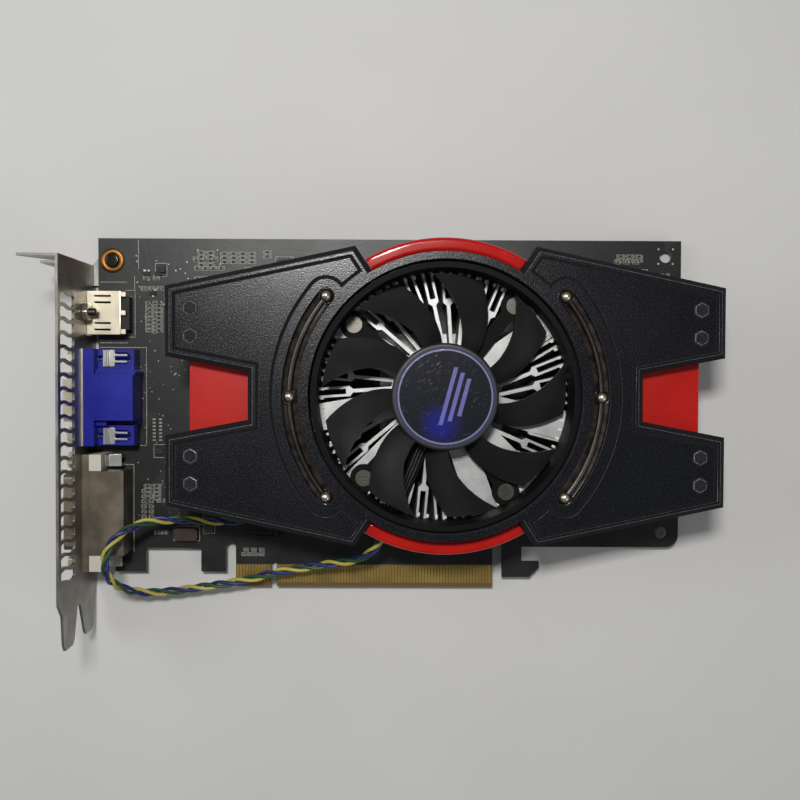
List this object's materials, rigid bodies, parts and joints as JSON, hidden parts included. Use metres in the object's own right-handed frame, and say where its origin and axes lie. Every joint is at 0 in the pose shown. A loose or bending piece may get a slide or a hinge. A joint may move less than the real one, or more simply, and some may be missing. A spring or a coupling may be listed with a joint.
{
  "type": "graphics card",
  "caption": "Dual-slot graphics card with a radial finned cooler, one axial fan under a cross-shaped black and red shroud, and a slotted mounting bracket.",
  "frame": {"origin": "centre of the card's footprint, on the surface it lies on, fan up", "axes": "+X along the card, away from the bracket; +Y away from the edge contacts; +Z out of the component side, along the fan's axis"},
  "size_m": [0.2112, 0.129, 0.0387],
  "materials": {
    "solder_mask": "black solder mask, satin",
    "gold": "gold plate",
    "solder": "soldered tin",
    "bracket_steel": "nickel-plated sheet steel",
    "dark_steel": "black oxide",
    "nickel": "nickel plate",
    "dull_nickel": "dull nickel plate",
    "tin": "tin plate",
    "black_plastic": "moulded",
    "blue_plastic": "moulded, satin",
    "white_plastic": "moulded, off-white",
    "chip_green": "laminate",
    "silicon": "polished silicon",
    "grey_paste": "thermal grease",
    "black_chip": "moulded epoxy",
    "can_aluminium": "drawn can",
    "brown_chip": "moulded epoxy",
    "ferrite": "sintered ferrite",
    "tan_ceramic": "fired ceramic",
    "wire_sheath": "soft wire insulation",
    "bare_aluminium": "extruded and machined",
    "fan_plastic": "moulded, matte",
    "core_steel": "stamped steel",
    "copper_wire": "enamelled copper",
    "bronze": "sintered bronze",
    "label_film": "metallised film",
    "red_plastic": "glossy red",
    "shroud_plastic": "fine spark-eroded grain",
    "gunmetal": "dark plated rod"
  },
  "bodies": {
    "card": {"circuit_board": "solder_mask", "edge_contacts": "gold", "solder_joints": "solder", "mounting_bracket": "bracket_steel", "ground_screw": "dark_steel", "hdmi_shell": "nickel", "hdmi_core": "black_plastic", "hdmi_contacts": "tin", "hdmi_screw": "dark_steel", "hdmi_nut": "nickel", "vga_shell": "nickel", "vga_housing": "blue_plastic", "vga_board_locks": "tin", "dvi_shell": "dull_nickel", "dvi_insulator": "white_plastic", "dvi_board_locks": "tin", "jack_screws": "nickel", "gpu_substrate": "chip_green", "gpu_die": "silicon", "thermal_paste": "grey_paste", "memory_chips": "black_chip", "capacitors": "can_aluminium", "moulded_capacitors": "brown_chip", "inductors": "ferrite", "mosfets": "black_chip", "small_chips": "black_chip", "chip_resistors": "black_chip", "chip_capacitors": "tan_ceramic", "clock_crystal": "nickel", "fan_header": "black_plastic", "fan_plug": "black_plastic", "fan_lead": "wire_sheath", "heat_sink": "bare_aluminium", "spring_screws": "nickel", "screw_washers": "black_plastic", "fan_frame": "fan_plastic", "fan_screws": "nickel", "motor_wires": "wire_sheath", "fan_motor_board": "solder_mask", "stator_core": "core_steel", "stator_windings": "copper_wire", "fan_bearing": "bronze", "red_frame": "red_plastic", "frame_screws": "nickel", "shroud_cover": "shroud_plastic", "accent_rods": "gunmetal", "accent_studs": "nickel"},
    "fan": {"fan_rotor": "fan_plastic", "hub_label": "label_film", "fan_shaft": "core_steel", "rotor_yoke": "core_steel", "rotor_magnet": "ferrite"}
  },
  "joints": [
    {"name": "fan_spin", "type": "hinge", "parent": "card", "child": "fan", "pos_m": [0.02157, 0.01337, 0.02395], "axis": [0, 0, 1], "continuous": true}
  ]
}
